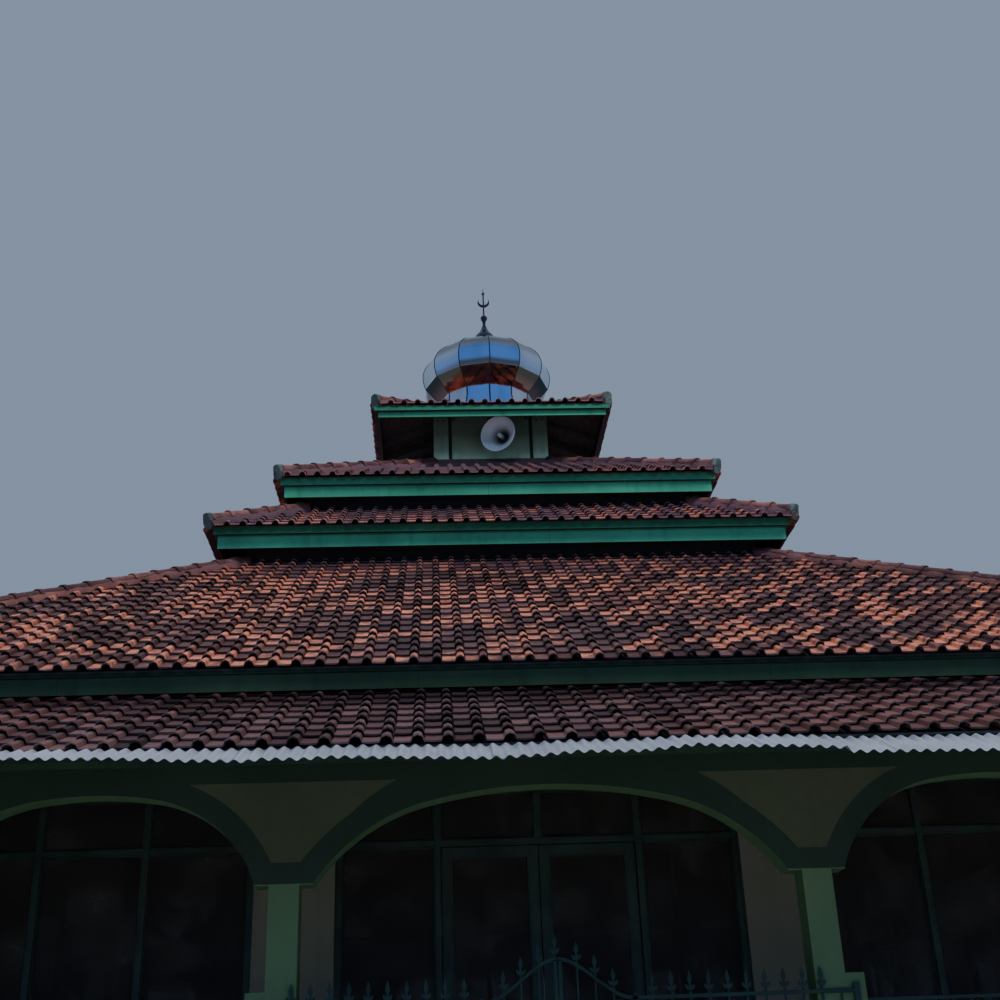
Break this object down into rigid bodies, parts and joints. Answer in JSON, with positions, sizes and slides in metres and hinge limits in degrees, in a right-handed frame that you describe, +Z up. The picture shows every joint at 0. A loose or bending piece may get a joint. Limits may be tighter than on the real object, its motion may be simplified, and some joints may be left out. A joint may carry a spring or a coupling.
{
  "type": "tiered-roof mosque building",
  "caption": "Square mosque with an arcaded veranda, stacked hipped clay-tile roofs, a lantern, a mirror-steel dome, a loudspeaker horn, a swinging gate and entrance doors.",
  "frame": {"origin": "on the ground under the dome, at the centre of the square plan", "axes": "+X to the right seen from the gate, the gate side faces -Y, +Z up"},
  "size_m": [21.9, 21.9, 13.858],
  "materials": {
    "concrete": "trowelled concrete",
    "green_plaster": "painted plaster, pale green",
    "cream_plaster": "painted plaster, cream",
    "frame_paint": "gloss paint on timber, dark green",
    "glass": "clear window glass",
    "fence_paint": "gloss paint, teal green",
    "clay_tile": "weathered clay roof tile",
    "teal_board": "gloss paint on timber, teal green",
    "dark_board": "paint on timber, dark green",
    "timber": "bare weathered timber",
    "zinc_sheet": "corrugated sheet, pale grey",
    "mirror_steel": "polished stainless sheet",
    "dark_metal": "dark painted steel",
    "horn_grey": "pale grey enamel"
  },
  "bodies": {
    "building": {"floor_slab": "concrete", "arcade_front": "green_plaster", "arcade_right": "green_plaster", "arcade_back": "green_plaster", "arcade_left": "green_plaster", "gate_pier_right": "green_plaster", "gate_pier_left": "green_plaster", "hall_wall_front": "cream_plaster", "hall_wall_right": "cream_plaster", "hall_wall_back": "cream_plaster", "hall_wall_left": "cream_plaster", "front_window_right": "frame_paint", "front_window_left": "frame_paint", "entrance_screen": "frame_paint", "window_glass_right": "glass", "window_glass_back": "glass", "window_glass_left": "glass", "gate_fence_left": "fence_paint", "gate_fence_right": "fence_paint", "bay_fence_near_right": "fence_paint", "bay_fence_near_left": "fence_paint", "bay_fence_far_right": "fence_paint", "bay_fence_far_left": "fence_paint", "fence_run_right": "fence_paint", "fence_run_back": "fence_paint", "fence_run_left": "fence_paint", "veranda_roof": "clay_tile", "main_roof": "clay_tile", "third_roof": "clay_tile", "second_roof": "clay_tile", "crown_roof": "clay_tile", "eave_strip": "zinc_sheet", "veranda_eave_board": "dark_board", "main_eave_board": "dark_board", "third_eave_board": "teal_board", "second_eave_board": "teal_board", "crown_eave_board": "teal_board", "inner_frame": "cream_plaster", "lower_clerestory": "timber", "upper_clerestory": "timber", "lantern": "green_plaster", "dome_collar": "mirror_steel", "dome": "mirror_steel", "finial": "dark_metal", "horn_speaker": "horn_grey", "horn_bracket": "dark_metal"},
    "gate_left": {"gate_leaf_left": "fence_paint"},
    "gate_right": {"gate_leaf_right": "fence_paint"},
    "door_left": {"entrance_door_left": "frame_paint"},
    "door_right": {"entrance_door_right": "frame_paint"}
  },
  "joints": [
    {"name": "gate_left_hinge", "type": "hinge", "parent": "building", "child": "gate_left", "pos_m": [-0.608, -8.7916, 0.22], "axis": [0, 0, 1], "range_deg": [0, 90]},
    {"name": "gate_right_hinge", "type": "hinge", "parent": "building", "child": "gate_right", "pos_m": [0.608, -8.7916, 0.22], "axis": [0, 0, -1], "range_deg": [0, 90]},
    {"name": "door_left_hinge", "type": "hinge", "parent": "building", "child": "door_left", "pos_m": [-0.9195, -7.2316, 0.22], "axis": [0, 0, 1], "range_deg": [0, 90]},
    {"name": "door_right_hinge", "type": "hinge", "parent": "building", "child": "door_right", "pos_m": [0.9195, -7.2316, 0.22], "axis": [0, 0, -1], "range_deg": [0, 90]}
  ]
}
